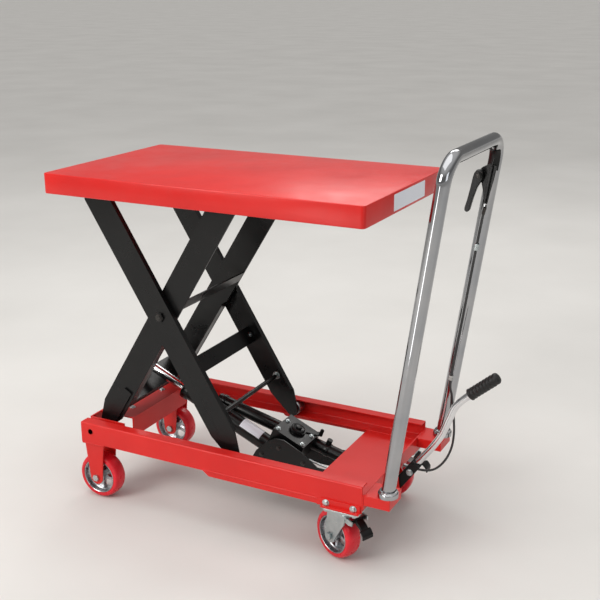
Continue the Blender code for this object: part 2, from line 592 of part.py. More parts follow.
# ---------------------------------------------------------------- pedal
def build_pedal(root):
    """Cranked foot lever on the end wall: black lever, chrome bar and ribbed rubber grip."""
    px, pz = PEDAL_PIVOT
    body = empty("pedal", (px, 0, pz), root)
    along = Vector((0.0500, 0, 0.0695)).normalized()
    across = Vector((along.z, 0, -along.x))

    def lever_point(d, m):
        spot = along * d + across * m
        return (spot.x, spot.z)

    outline = [*arc((0, 0), 0.0125, 160, 340, 9),
               lever_point(0.030, 0.0125), lever_point(0.094, 0.0125), lever_point(0.094, -0.0125),
               lever_point(0.030, -0.0125)]
    lever = add_piece("pedal_lever", slab(outline, -0.0125, 0.0125), "black_paint", body)
    toe = slab([(-0.010, 0.004), (-0.0165, -0.008), (-0.0165, -0.020), (-0.006, -0.020), (0.006, -0.010)],
               -0.009, 0.009)
    weld(lever, toe)
    bar_r = 0.0095
    socket = turned([(0, 0.060), (bar_r + GAP, 0.060), (bar_r + GAP, 0.110), (0, 0.110)], "Z")
    socket.transform(Vector((0, 0, 1)).rotation_difference(along).to_matrix().to_4x4())
    cut(lever, disc((0, 0), 0.0058, -0.02, 0.02, steps=16), socket)
    start = along * 0.0605
    seat = along * 0.0940
    grip_start = Vector((0.592 - px, 0, 0.405 - pz))
    grip_along = Vector((0.070, 0, 0.0602)).normalized()
    knots = [seat, Vector((0.500 - px, 0, 0.2455 - pz)), Vector((0.526 - px, 0, 0.287 - pz)),
             Vector((0.5445 - px, 0, 0.334 - pz)), Vector((0.560 - px, 0, 0.371 - pz)), grip_start,
             grip_start + grip_along * 0.020]
    bar = [start, *smooth_route(knots, 18), grip_start + grip_along * 0.066]
    tube("pedal_tube", bar, bar_r, "chrome", body)
    ribs = []
    for i in range(5):
        h = 0.004 + i * 0.0145
        ribs += [(0.0150, h), (0.0165, h + 0.002), (0.0165, h + 0.0095), (0.0150, h + 0.0115)]
    bore = bar_r + 0.0007
    profile = [(bore, 0), (0.0150, 0), *ribs, (0.0150, 0.0790), (0.0110, 0.0845), (0, 0.0860), (0, 0.0690),
               (bore, 0.0690)]
    grip = turned(profile, "Z", steps=18)
    lean = Vector((0, 0, 1)).rotation_difference(grip_along).to_matrix().to_4x4()
    grip.transform(Matrix.Translation(grip_start) @ lean)
    add_piece("pedal_grip", grip, "rubber", body, smooth=True)
    return body


# ---------------------------------------------------------------- handle, release lever and cable
def handle_x(z):
    return HANDLE_BASE[0] + HANDLE_LEAN * (z - HANDLE_BASE[1])


def build_handle(root):
    foot = HANDLE_BASE[1]
    up = Vector((HANDLE_LEAN, 0, 1)).normalized()
    length = (HANDLE_TOP_Z - foot) / up.z
    bend = HANDLE_BEND_R
    outline = [(HANDLE_Y, 0.0), (HANDLE_Y, length * 0.5),
               *arc((HANDLE_Y - bend, length - bend), bend, 0, 90, 8)]
    outline += [(-y, d) for y, d in reversed(outline)]
    base = Vector((HANDLE_BASE[0], 0, foot))
    tube("handle_tube", [base + up * d + Vector((0, y, 0)) for y, d in outline], HANDLE_R, "chrome", root)
    for side_name, side in SIDES.items():
        ring = turned([(0, 0), (0.024, 0), (0.024, 0.013), (0.0215, 0.016), (0, 0.016)], "Z",
                      (HANDLE_BASE[0] + 0.001, side * HANDLE_Y, 0.2000))
        collar = add_piece(f"handle_collar_{side_name}", ring, "chrome", root, smooth=True)
        bore = turned([(0, -0.02), (HANDLE_R + GAP, -0.02), (HANDLE_R + GAP, 0.05), (0, 0.05)], "Z")
        lean = Vector((0, 0, 1)).rotation_difference(up).to_matrix().to_4x4()
        bore.transform(Matrix.Translation((HANDLE_BASE[0], side * HANDLE_Y, foot)) @ lean)
        cut(collar, bore)


def build_release(root):
    """Bracket on the far handle leg and the lever that pulls the release cable."""
    lx, lz = LEVER_PIVOT
    inner_face = HANDLE_Y - HANDLE_R - GAP
    outline = [(0.541, 0.820), (0.566, 0.820), (0.581, 0.920), (0.549, 0.920), (0.547, 0.910), (0.533, 0.904),
               (0.531, 0.884), (0.543, 0.872)]
    plate = slab(outline, inner_face - 0.004, inner_face)
    bracket = add_piece("lever_bracket", plate, "black_paint", root)
    weld(bracket, disc((lx, lz), 0.004, 0.1445, inner_face - 0.003, steps=16),
         disc((lx, lz), 0.0075, 0.1435, 0.1460, steps=16),
         slab([(0.549, 0.916), (0.5803, 0.916), (0.5809, 0.9195), (0.5495, 0.9195)],
              0.150, inner_face - 0.003),
         slab([(0.551, 0.8205), (0.5655, 0.8205), (0.566, 0.824), (0.551, 0.824)],
              0.150, inner_face - 0.003))
    body = empty("release_lever_axis", (lx, 0.154, lz), root)
    blade = [(0.008, 0.012), (-0.006, 0.014), (-0.014, 0.000), (-0.026, -0.060), (-0.032, -0.082),
             (-0.026, -0.090), (-0.018, -0.086), (-0.004, -0.040), (0.010, -0.008)]
    lever = add_piece("release_lever", slab(blade, -0.0070, 0.0050), "black_paint", body)
    cut(lever, disc((0, 0), 0.0043, -0.02, 0.02, steps=16))


def build_cable(root):
    """Release cable, clipped down the inside of the far leg, then looped round the platform to the end wall."""
    side_y = HANDLE_Y - HANDLE_R - 0.0036
    knots = [(0.5570, 0.157, 0.8165), (0.5500, 0.162, 0.7900), (handle_x(0.71), side_y, 0.7100),
             (handle_x(0.54), side_y, 0.5400), (handle_x(0.37), side_y, 0.3700), (0.4935, 0.168, 0.3200),
             (0.4990, 0.173, 0.2650), (0.5010, 0.176, 0.2150), (0.4980, 0.170, 0.1750), (0.4900, 0.145, 0.1480),
             (0.4800, 0.095, 0.1440), (0.4600, 0.054, 0.1560), (0.4190, 0.034, 0.1700)]
    tube("release_cable", smooth_route(knots, 54), 0.0030, "rubber", root, resolution=2)


# ---------------------------------------------------------------- assembly
def build():
    clear_scene()
    root = empty("scissor_lift_table", (DECK_CENTRE_X, 0, 0))
    build_front_crossmember(root)
    build_rear_plate(root)
    build_pump_cradle(root)
    for side_name, side in SIDES.items():
        build_rail(root, side_name, side)
        build_handle_socket(root, side_name, side)
        build_fixed_fork(root, side_name, side)
        pin = disc((PIVOT_X, BASE_PIVOT_Z), 0.008, side * 0.1365, side * RAIL_OUT_Y, steps=20)
        add_piece(f"base_pin_{side_name}", pin, "zinc", root)
        wheel_y = side * FIXED_WHEEL_Y
        build_axle(f"fixed_axle_{side_name}", root, (FIXED_WHEEL_X, wheel_y, WHEEL_R), 0.029 + GAP)
        axle = empty(f"fixed_wheel_{side_name}", (FIXED_WHEEL_X, wheel_y, WHEEL_R), root)
        build_wheel(f"fixed_{side_name}", axle)
        build_caster(root, side_name, side)
    inner_body = build_inner_arms(root)
    outer_body = build_outer_arms(inner_body)
    build_deck(outer_body)
    build_ram(root)
    build_plunger(root)
    build_pedal(root)
    build_handle(root)
    build_release(root)
    build_cable(root)


build()
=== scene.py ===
"""Looks of the foot-pumped scissor lift table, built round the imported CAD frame.

Every place is in the frame's metres. What a piece stands on is read from the frame; DECK_X is the middle
of the deck, which the route and the small fittings are measured from.
"""

import json
from math import asin, atan2, cos, pi, radians, sin

import bmesh
import bpy
from mathutils import Matrix, Vector


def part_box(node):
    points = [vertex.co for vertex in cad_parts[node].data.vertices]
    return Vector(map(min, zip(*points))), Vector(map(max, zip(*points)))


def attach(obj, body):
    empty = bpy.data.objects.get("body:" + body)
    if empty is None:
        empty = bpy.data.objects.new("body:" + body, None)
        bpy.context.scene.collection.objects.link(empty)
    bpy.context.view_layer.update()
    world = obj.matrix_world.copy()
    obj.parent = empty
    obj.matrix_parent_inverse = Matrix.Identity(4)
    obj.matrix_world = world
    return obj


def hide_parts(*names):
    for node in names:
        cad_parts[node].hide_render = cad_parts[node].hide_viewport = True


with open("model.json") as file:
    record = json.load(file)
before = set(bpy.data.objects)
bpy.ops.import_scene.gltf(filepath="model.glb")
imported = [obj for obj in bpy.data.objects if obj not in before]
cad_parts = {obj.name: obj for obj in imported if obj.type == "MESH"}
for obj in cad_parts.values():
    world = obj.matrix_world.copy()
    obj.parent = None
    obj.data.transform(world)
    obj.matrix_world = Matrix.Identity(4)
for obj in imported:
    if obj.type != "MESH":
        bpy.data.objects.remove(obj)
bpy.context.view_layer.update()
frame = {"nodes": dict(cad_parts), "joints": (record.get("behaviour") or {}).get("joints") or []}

NODES = frame["nodes"]
JOINT_AT = {j["name"]: Vector(j["pos_m"]) for j in frame["joints"] if "pos_m" in j}
JOINT_AXIS = {j["name"]: Vector(j["axis"]).normalized() for j in frame["joints"]}
SIDES = {"near": -1, "far": 1}


def middle(node):
    low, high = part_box(node)
    return (low + high) / 2


DECK_X = middle("deck_tray").x
DECK_LOW, DECK_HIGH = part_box("deck_tray")


# ---------------------------------------------------------------- materials
def new_material(name):
    made = bpy.data.materials.new(name)
    made.use_nodes = True
    tree = made.node_tree
    return made, tree, tree.nodes["Principled BSDF"]


def add_noise(tree, coords, scale, detail):
    """A noise texture in the object's own coordinates; returns its value socket."""
    noise = tree.nodes.new("ShaderNodeTexNoise")
    noise.inputs["Scale"].default_value = scale
    noise.inputs["Detail"].default_value = detail
    tree.links.new(coords, noise.inputs["Vector"])
    return noise.outputs["Fac"]


def remap(tree, value, low, high, from_low=0.3, from_high=0.7):
    node = tree.nodes.new("ShaderNodeMapRange")
    node.inputs["From Min"].default_value = from_low
    node.inputs["From Max"].default_value = from_high
    node.inputs["To Min"].default_value = low
    node.inputs["To Max"].default_value = high
    tree.links.new(value, node.inputs["Value"])
    return node.outputs["Result"]


def mix_colours(tree, factor, first, second):
    """first and second are colours or colour sockets."""
    node = tree.nodes.new("ShaderNodeMix")
    node.data_type = "RGBA"
    tree.links.new(factor, node.inputs["Factor"])
    for key, colour in (("A", first), ("B", second)):
        socket = [s for s in node.inputs if s.name == key and s.type == "RGBA"][0]
        if isinstance(colour, tuple):
            socket.default_value = (*colour, 1.0)
        else:
            tree.links.new(colour, socket)
    return [s for s in node.outputs if s.type == "RGBA"][0]


def surface(name, dark, light, rough, metallic=0.0, blotch=9.0, grain=700.0, bump=0.06, depth=0.0004,
            coat=0.0, specular=0.5, dust=None, dust_share=0.0):
    """A finish that drifts between two colours and two roughnesses, with a fine grain in its bump."""
    made, tree, shader = new_material(name)
    coords = tree.nodes.new("ShaderNodeTexCoord").outputs["Object"]
    broad = add_noise(tree, coords, blotch, 5.0)
    colour = mix_colours(tree, remap(tree, broad, 0.0, 1.0), dark, light)
    if dust:
        specks = remap(tree, add_noise(tree, coords, blotch * 6, 8.0), 0.0, dust_share, 0.52, 0.78)
        colour = mix_colours(tree, specks, colour, dust)
    tree.links.new(colour, shader.inputs["Base Color"])
    patchy = add_noise(tree, coords, blotch * 3.1, 6.0)
    tree.links.new(remap(tree, patchy, rough[0], rough[1]), shader.inputs["Roughness"])
    shader.inputs["Metallic"].default_value = metallic
    shader.inputs["Specular IOR Level"].default_value = specular
    shader.inputs["Coat Weight"].default_value = coat
    shader.inputs["Coat Roughness"].default_value = 0.12
    bumped = tree.nodes.new("ShaderNodeBump")
    bumped.inputs["Strength"].default_value = bump
    bumped.inputs["Distance"].default_value = depth
    tree.links.new(add_noise(tree, coords, grain, 3.0), bumped.inputs["Height"])
    tree.links.new(bumped.outputs["Normal"], shader.inputs["Normal"])
    return made


def machined(name, dark, light, rough, rings):
    """Turned metal: fine rings round the piece's own Y axis."""
    made = surface(name, dark, light, rough, metallic=1.0, blotch=30.0, grain=900.0, bump=0.05)
    tree = made.node_tree
    shader = tree.nodes["Principled BSDF"]
    coords = tree.nodes.new("ShaderNodeTexCoord").outputs["Object"]
    wave = tree.nodes.new("ShaderNodeTexWave")
    wave.wave_type = "RINGS"
    wave.rings_direction = "Y"
    wave.inputs["Scale"].default_value = rings
    wave.inputs["Distortion"].default_value = 0.4
    tree.links.new(coords, wave.inputs["Vector"])
    bumped = tree.nodes.new("ShaderNodeBump")
    bumped.inputs["Strength"].default_value = 0.12
    bumped.inputs["Distance"].default_value = 0.0003
    tree.links.new(wave.outputs["Fac"], bumped.inputs["Height"])
    tree.links.new(bumped.outputs["Normal"], shader.inputs["Normal"])
    return made


RED = surface("red_powder_coat", (0.60, 0.010, 0.008), (0.70, 0.016, 0.012), (0.28, 0.40), blotch=5.0,
              grain=420.0, bump=0.08, depth=0.0004, coat=0.05, specular=0.34, dust=(0.46, 0.05, 0.04),
              dust_share=0.10)
BLACK = surface("black_satin_paint", (0.0020, 0.0020, 0.0022), (0.0046, 0.0046, 0.0048), (0.24, 0.38),
                blotch=7.0, grain=520.0, bump=0.10, depth=0.0004, coat=0.04, specular=0.28,
                dust=(0.022, 0.020, 0.019), dust_share=0.10)
# The handle chrome's base colour is darker than real chrome. It stands in for the darker surroundings it
# would reflect, so this is painted shade in its reflections.
CHROME = surface("chrome_plate", (0.34, 0.35, 0.37), (0.42, 0.42, 0.43), (0.04, 0.09), metallic=1.0,
                 blotch=14.0, grain=900.0, bump=0.015, depth=0.0003)
ROD_CHROME = surface("hard_chrome_rod", (0.70, 0.70, 0.72), (0.80, 0.80, 0.81), (0.09, 0.15), metallic=1.0,
                     blotch=20.0, grain=1200.0, bump=0.02, depth=0.0002)
ZINC = surface("zinc_plate", (0.40, 0.45, 0.46), (0.56, 0.60, 0.60), (0.26, 0.42), metallic=1.0,
               blotch=38.0, grain=1100.0, bump=0.10, depth=0.0004)
STEEL = surface("roller_steel", (0.34, 0.35, 0.36), (0.50, 0.51, 0.52), (0.28, 0.44), metallic=1.0,
                blotch=42.0, grain=1300.0, bump=0.08, depth=0.0003)
ALUMINIUM = machined("wheel_core_aluminium", (0.40, 0.41, 0.43), (0.56, 0.57, 0.59), (0.22, 0.36), 160.0)
TYRE = surface("red_polyurethane", (0.60, 0.008, 0.018), (0.78, 0.014, 0.030), (0.22, 0.42), blotch=26.0,
               grain=260.0, bump=0.20, depth=0.0006, coat=0.1, specular=0.36, dust=(0.50, 0.05, 0.06),
               dust_share=0.16)
OXIDE = surface("dark_oxide_steel", (0.035, 0.033, 0.032), (0.075, 0.070, 0.066), (0.34, 0.50), metallic=0.8,
                blotch=60.0, grain=1300.0, bump=0.10, depth=0.0003)
RUBBER = surface("black_rubber", (0.008, 0.008, 0.009), (0.016, 0.016, 0.016), (0.36, 0.52), blotch=30.0,
                 grain=800.0, bump=0.16, depth=0.0005, specular=0.4)
CABLE = surface("black_cable_sheath", (0.010, 0.010, 0.011), (0.020, 0.020, 0.022), (0.28, 0.42), blotch=60.0,
                grain=1500.0, bump=0.10, depth=0.0002, coat=0.2)
NYLON = surface("grey_nylon", (0.36, 0.36, 0.35), (0.48, 0.48, 0.46), (0.38, 0.52), blotch=80.0,
                grain=1400.0, bump=0.10, depth=0.0002)
LABEL = surface("blank_label_film", (0.80, 0.83, 0.91), (0.83, 0.86, 0.93), (0.34, 0.40), blotch=16.0,
                grain=500.0, bump=0.03, depth=0.0002)
FLOOR = surface("pale_floor", (0.66, 0.65, 0.63), (0.72, 0.71, 0.69), (0.50, 0.66), blotch=1.3, grain=160.0,
                bump=0.05, depth=0.0008, specular=0.08)


# ---------------------------------------------------------------- mesh helpers
def slab(outline, low, high, axis="Y"):
    """A flat outline pushed along an axis: (x, z) along Y, (y, z) along X or (x, y) along Z."""
    bm = bmesh.new()
    spread = {"X": lambda a, b: (low, a, b), "Y": lambda a, b: (a, low, b), "Z": lambda a, b: (a, b, low)}
    shift = {"X": (high - low, 0, 0), "Y": (0, high - low, 0), "Z": (0, 0, high - low)}
    face = bm.faces.new([bm.verts.new(spread[axis](a, b)) for a, b in outline])
    pushed = bmesh.ops.extrude_face_region(bm, geom=[face])
    moved = [v for v in pushed["geom"] if isinstance(v, bmesh.types.BMVert)]
    bmesh.ops.translate(bm, verts=moved, vec=shift[axis])
    return bm


def arc(centre, radius, start, stop, steps):
    cx, cy = centre
    angles = [radians(start + (stop - start) * i / steps) for i in range(steps + 1)]
    return [(cx + radius * cos(a), cy + radius * sin(a)) for a in angles]


AXIS_TURN = {"X": Matrix.Rotation(pi / 2, 4, "Y"), "Y": Matrix.Rotation(-pi / 2, 4, "X"),
             "Z": Matrix.Identity(4)}


def turned(profile, axis="Z", steps=64):
    """A closed (radius, height) profile spun round an axis through the origin."""
    bm = bmesh.new()
    loop = [bm.verts.new((r, 0, h)) for r, h in profile]
    edges = [bm.edges.new((loop[i], loop[(i + 1) % len(loop)])) for i in range(len(loop))]
    bmesh.ops.spin(bm, geom=loop + edges, cent=(0, 0, 0), axis=(0, 0, 1), dvec=(0, 0, 0),
                   angle=2 * pi, steps=steps, use_merge=True)
    bmesh.ops.remove_doubles(bm, verts=bm.verts, dist=1e-6)
    bm.transform(AXIS_TURN[axis])
    return bm


def joined(*parts):
    """Several bmeshes as one."""
    whole = bmesh.new()
    for part in parts:
        mesh = bpy.data.meshes.new("part")
        part.to_mesh(mesh)
        part.free()
        whole.from_mesh(mesh)
        bpy.data.meshes.remove(mesh)
    return whole


def aimed(bm, point, direction):
    """Turn a shape made round +Z to run along a direction, and put it at a point."""
    lean = Vector((0, 0, 1)).rotation_difference(Vector(direction).normalized()).to_matrix().to_4x4()
    bm.transform(Matrix.Translation(point) @ lean)
    return bm


def piece(name, bm, material, body, place=None, bevel=0.0, sharp=35.0, replaces=()):
    """A finished piece that rides on a body."""
    bmesh.ops.recalc_face_normals(bm, faces=bm.faces)
    mesh = bpy.data.meshes.new(name)
    bm.to_mesh(mesh)
    bm.free()
    mesh.materials.append(material)
    mesh.shade_smooth()
    if not bevel:
        mesh.set_sharp_from_angle(angle=radians(sharp))
    made = bpy.data.objects.new(name, mesh)
    if place is not None:
        made.matrix_world = place
    bpy.context.scene.collection.objects.link(made)
    if bevel:
        add_bevel(made, bevel)
    return settle(made, body, replaces)


def settle(made, body, replaces=()):
    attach(made, body)
    if replaces:
        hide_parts(*replaces)
    return made


def add_bevel(obj, width):
    modifier = obj.modifiers.new("edge", "BEVEL")
    modifier.width = width
    modifier.segments = 2
    modifier.limit_method = "ANGLE"
    modifier.angle_limit = radians(32)
    modifier.harden_normals = True


def swept(name, points, radius, material, body, sides=6, replaces=()):
    """A round bar or cord along points, with closed ends."""
    curve = bpy.data.curves.new(name, "CURVE")
    curve.dimensions = "3D"
    curve.bevel_depth = radius
    curve.bevel_resolution = sides
    curve.use_fill_caps = True
    spline = curve.splines.new("POLY")
    spline.points.add(len(points) - 1)
    for target, point in zip(spline.points, points):
        target.co = (*point, 1.0)
    spline.use_smooth = True
    curve.materials.append(material)
    made = bpy.data.objects.new(name, curve)
    bpy.context.scene.collection.objects.link(made)
    return settle(made, body, replaces)


def smooth_route(knots, count):
    """Points at even spacing on a Catmull-Rom curve through the knots."""
    guides = [Vector(k) for k in knots]
    guides = [2 * guides[0] - guides[1], *guides, 2 * guides[-1] - guides[-2]]
    dense = []
    for p0, p1, p2, p3 in zip(guides, guides[1:], guides[2:], guides[3:]):
        for i in range(24):
            t = i / 24
            dense.append(0.5 * (2 * p1 + (p2 - p0) * t + (2 * p0 - 5 * p1 + 4 * p2 - p3) * t * t
                                + (3 * p1 - p0 - 3 * p2 + p3) * t * t * t))
    dense.append(guides[-2])
    lengths = [0.0]
    for a, b in zip(dense, dense[1:]):
        lengths.append(lengths[-1] + (b - a).length)
    route, j = [], 0
    for i in range(count):
        wanted = lengths[-1] * i / (count - 1)
        while j < len(dense) - 2 and lengths[j + 1] < wanted:
            j += 1
        share = (wanted - lengths[j]) / (lengths[j + 1] - lengths[j])
        route.append(dense[j].lerp(dense[j + 1], share))
    return route


# ---------------------------------------------------------------- small fittings
def hexagon_profile(across, height):
    """Hexagon head with a chamfered top."""
    bm = slab(arc((0, 0), across, 0, 300, 5), 0, height, "Z")
    top = [e for e in bm.edges if all(v.co.z > height - 1e-6 for v in e.verts)]
    bmesh.ops.bevel(bm, geom=top, offset=across * 0.10, segments=2, affect="EDGES", profile=0.6)
    return bm


WASHER_THICK = 0.0014


def bolt_shape(across, height, washer):
    """Hexagon on a washer that is that many times as wide; it rises from z = 0."""
    thick = WASHER_THICK
    ring = [(0, 0), (across * washer, 0), (across * washer, thick * 0.7), (across * washer * 0.97, thick),
            (0, thick)]
    head = hexagon_profile(across, height)
    head.transform(Matrix.Translation((0, 0, thick * 0.8)))
    return joined(turned(ring, steps=32), head)


def bolt(name, point, direction, body, across=0.0058, height=0.0042, material=None, washer=1.45):
    shape = aimed(bolt_shape(across, height, washer), point, direction)
    return piece(name, shape, material or ZINC, body, sharp=30.0)


WELD_RIPPLE = 0.0011     # length of seam for each point of the bead


def weld_bead(name, start, end, radius, body, material=None):
    """A rippled fillet weld along a straight seam."""
    first, last = Vector(start), Vector(end)
    length = (last - first).length
    count = max(6, int(length / WELD_RIPPLE))
    profile = [(0, 0)]
    for i in range(1, count):
        swell = 0.80 + 0.20 * abs(sin(pi * i / 3))
        profile.append((radius * swell * min(1.0, 3 * i / count, 3 * (count - i) / count) ** 0.3,
                        length * i / count))
    profile.append((0, length))
    bead = aimed(turned(profile, steps=14), first, last - first)
    return piece(name, bead, material or RED, body, sharp=60.0)


# ---------------------------------------------------------------- CAD nodes that stay
def dress(node, material, bevel=0.0):
    """A CAD node keeps its shape and takes a finish, welded facets and eased edges."""
    obj = NODES[node]
    mesh = obj.data
    mesh.materials.clear()
    mesh.materials.append(material)
    if "custom_normal" in mesh.attributes:
        mesh.attributes.remove(mesh.attributes["custom_normal"])
    mesh.shade_smooth()
    weld = obj.modifiers.new("weld", "WELD")
    weld.merge_threshold = 0.00001
    if bevel:
        add_bevel(obj, bevel)


DRESSES = {
    "deck_tray": (RED, 0.0010),
    "front_crossmember": (RED, 0.0007),
    "rear_plate": (RED, 0.0007),
    "torsion_beam": (BLACK, 0.0006),
    "upper_brace": (BLACK, 0.0008),
    "brace_plate": (BLACK, 0.0008),
    "tie_rod": (BLACK, 0.0006),
    "pump_cradle": (BLACK, 0.0007),
    "pump_body": (BLACK, 0.0012),
    "pedal_lever": (BLACK, 0.0012),
    "top_pivot_shaft": (ZINC, 0.0008),
    "pump_plunger": (ZINC, 0.0006),
}
for end_name in SIDES:
    DRESSES[f"handle_socket_{end_name}"] = (RED, 0.0008)
    DRESSES[f"fixed_fork_{end_name}"] = (RED, 0.0008)
    DRESSES[f"deck_track_{end_name}"] = (RED, 0.0006)
    DRESSES[f"inner_arm_{end_name}"] = (BLACK, 0.0007)
    DRESSES[f"outer_arm_{end_name}"] = (BLACK, 0.0007)
    DRESSES[f"base_pin_{end_name}"] = (OXIDE, 0.0006)
    DRESSES[f"centre_pin_{end_name}"] = (BLACK, 0.0008)
    DRESSES[f"caster_plate_{end_name}"] = (ZINC, 0.0006)
    DRESSES[f"swivel_fork_{end_name}"] = (ZINC, 0.0007)
    DRESSES[f"fixed_axle_{end_name}"] = (ZINC, 0.0006)
    DRESSES[f"swivel_axle_{end_name}"] = (ZINC, 0.0006)
for node_name, (node_material, edge) in DRESSES.items():
    dress(node_name, node_material, edge)


# ---------------------------------------------------------------- wheels
def make_wheel(prefix, body, joint):
    """Crowned red tyre on a five-spoked core with a bright rim, a bearing and its seals."""
    axis = JOINT_AXIS[joint]
    place = Matrix.Translation(JOINT_AT[joint]) @ Matrix.Rotation(atan2(-axis.x, axis.y), 4, "Z")
    low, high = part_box(f"{prefix}_tyre")
    outer, half, bore = (high.z - low.z) / 2 - 0.0001, 0.0209, 0.0478
    crown = []
    for i in range(-12, 13):
        across = sin(i / 12 * pi / 2)
        crown.append((outer - 0.0085 + 0.0085 * max(0.0, 1 - abs(across) ** 2.7) ** (1 / 2.1), half * across))
    tread = turned([(bore, -half + 0.0012), (bore + 0.001, -half), *crown, (bore + 0.001, half),
                    (bore, half - 0.0012)], "Y", 96)
    piece(f"{prefix}_tyre_tread", tread, TYRE, body, place, replaces=(f"{prefix}_tyre",))
    lip = [(0.0475, 0.0190), (0.0471, 0.0203), (0.0461, 0.0207), (0.0450, 0.0200), (0.0446, 0.0170),
           (0.0442, 0.0110), (0.0428, 0.0075), (0.0405, 0.0062)]
    rim = [*[(r, -h) for r, h in lip], *reversed(lip)]
    boss = [(0.0115, -0.0212), (0.0150, -0.0212), (0.0164, -0.0200), (0.0178, -0.0090), (0.0178, 0.0090),
            (0.0164, 0.0200), (0.0150, 0.0212), (0.0115, 0.0212)]
    parts = [turned(rim, "Y", 96), turned(boss, "Y", 64)]
    for i in range(5):
        spoke = slab([(0.0160, -0.0068), (0.0220, -0.0052), (0.0330, -0.0046), (0.0412, -0.0066),
                      (0.0412, 0.0066), (0.0330, 0.0046), (0.0220, 0.0052), (0.0160, 0.0068)], -0.0062,
                     0.0062)
        bmesh.ops.bevel(spoke, geom=list(spoke.edges), offset=0.0012, segments=2, affect="EDGES")
        spoke.transform(Matrix.Rotation(radians(72 * i + 90), 4, "Y"))
        parts.append(spoke)
    piece(f"{prefix}_wheel_core", joined(*parts), ALUMINIUM, body, place, sharp=40.0,
          replaces=(f"{prefix}_hub",))
    race = [(0.0058, -0.0226), (0.0074, -0.0230), (0.0080, -0.0222), (0.0105, -0.0216), (0.0114, -0.0222),
            (0.0118, -0.0214), (0.0118, 0.0214), (0.0114, 0.0222), (0.0105, 0.0216), (0.0080, 0.0222),
            (0.0074, 0.0230), (0.0058, 0.0226)]
    piece(f"{prefix}_bearing", turned(race, "Y", 48), STEEL, body, place)


for end_name in SIDES:
    make_wheel(f"fixed_{end_name}", f"fixed_wheel_{end_name}", f"fixed_wheel_spin_{end_name}")
    make_wheel(f"swivel_{end_name}", f"swivel_wheel_{end_name}", f"swivel_wheel_spin_{end_name}")


# ---------------------------------------------------------------- rollers
def make_roller(name):
    centre = middle(name)
    low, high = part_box(name)
    r, half = (high.z - low.z) / 2, (high.y - low.y) / 2
    profile = [(0.0068, -half + 0.001), (0.0075, -half), (r - 0.0022, -half), (r - 0.0008, -half + 0.0006),
               (r, -half + 0.002), (r, half - 0.002), (r - 0.0008, half - 0.0006), (r - 0.0022, half),
               (0.0075, half), (0.0068, half - 0.001)]
    piece(f"{name}_turned", turned(profile, "Y", 72), STEEL, name, Matrix.Translation(centre),
          replaces=(name,))


for end_name in SIDES:
    make_roller(f"upper_roller_{end_name}")
    make_roller(f"lower_roller_{end_name}")


# ---------------------------------------------------------------- handle
HANDLE_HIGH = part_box("handle_tube")[1]
HANDLE_R = 0.016
HANDLE_Y = HANDLE_HIGH.y - HANDLE_R
HANDLE_LEAN = 0.140
HANDLE_FOOT = Vector((DECK_X + 0.466, 0, 0.2024))
HANDLE_UP = Vector((HANDLE_LEAN, 0, 1)).normalized()


def handle_x(z):
    return HANDLE_FOOT.x + HANDLE_LEAN * (z - HANDLE_FOOT.z)


def make_handle():
    """Bent chrome tube, with a collar at each foot."""
    bend = 0.055
    length = (HANDLE_HIGH.z - HANDLE_R - HANDLE_FOOT.z) / HANDLE_UP.z
    straight = [(HANDLE_Y, length * i / 8) for i in range(8)]
    outline = [*straight, *arc((HANDLE_Y - bend, length - bend), bend, 0, 90, 18)]
    outline += [(-y, d) for y, d in reversed(outline)]
    points = [HANDLE_FOOT + HANDLE_UP * d + Vector((0, y, 0)) for y, d in outline]
    swept("handle_bar", points, HANDLE_R - 0.00005, CHROME, "base", 10, ("handle_tube",))
    for end_name, side in SIDES.items():
        low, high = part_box(f"handle_collar_{end_name}")
        wide, tall = (high.x - low.x) / 2, high.z - low.z
        inner = HANDLE_R + 0.0002
        ring = [(inner, 0), (wide, 0), (wide, tall * 0.62), (wide - 0.0008, tall * 0.72),
                (wide - 0.003, tall * 0.80), (wide - 0.0036, tall * 0.96), (wide - 0.0046, tall),
                (inner + 0.0012, tall), (inner, tall - 0.001)]
        bm = turned(ring, steps=72)
        for v in bm.verts:
            v.co.x += HANDLE_LEAN * (v.co.z - tall / 2) * (1.0 if v.co.xy.length < inner + 0.002 else 0.35)
        bm.transform(Matrix.Translation(((low.x + high.x) / 2, side * HANDLE_Y, low.z)))
        piece(f"handle_foot_collar_{end_name}", bm, CHROME, "base",
              replaces=(f"handle_collar_{end_name}",))


make_handle()


# ---------------------------------------------------------------- release cable and lever
CABLE_R = 0.0030
ADJUSTER_Z = 0.716
STRAP_Z = 0.372


def cable_route():
    side_y = HANDLE_Y - HANDLE_R - 0.0036
    knots = [(DECK_X + 0.5570, 0.157, 0.8165), (DECK_X + 0.5500, 0.162, 0.7900),
             (handle_x(0.71), side_y, 0.7100), (handle_x(0.54), side_y, 0.5400),
             (handle_x(0.37), side_y, 0.3700), (DECK_X + 0.4935, 0.168, 0.3200),
             (DECK_X + 0.4990, 0.173, 0.2650), (DECK_X + 0.5010, 0.176, 0.2150),
             (DECK_X + 0.4980, 0.170, 0.1750), (DECK_X + 0.4900, 0.145, 0.1480),
             (DECK_X + 0.4800, 0.095, 0.1440), (DECK_X + 0.4600, 0.054, 0.1560),
             (DECK_X + 0.4190, 0.034, 0.1700)]
    return smooth_route(knots, 180)


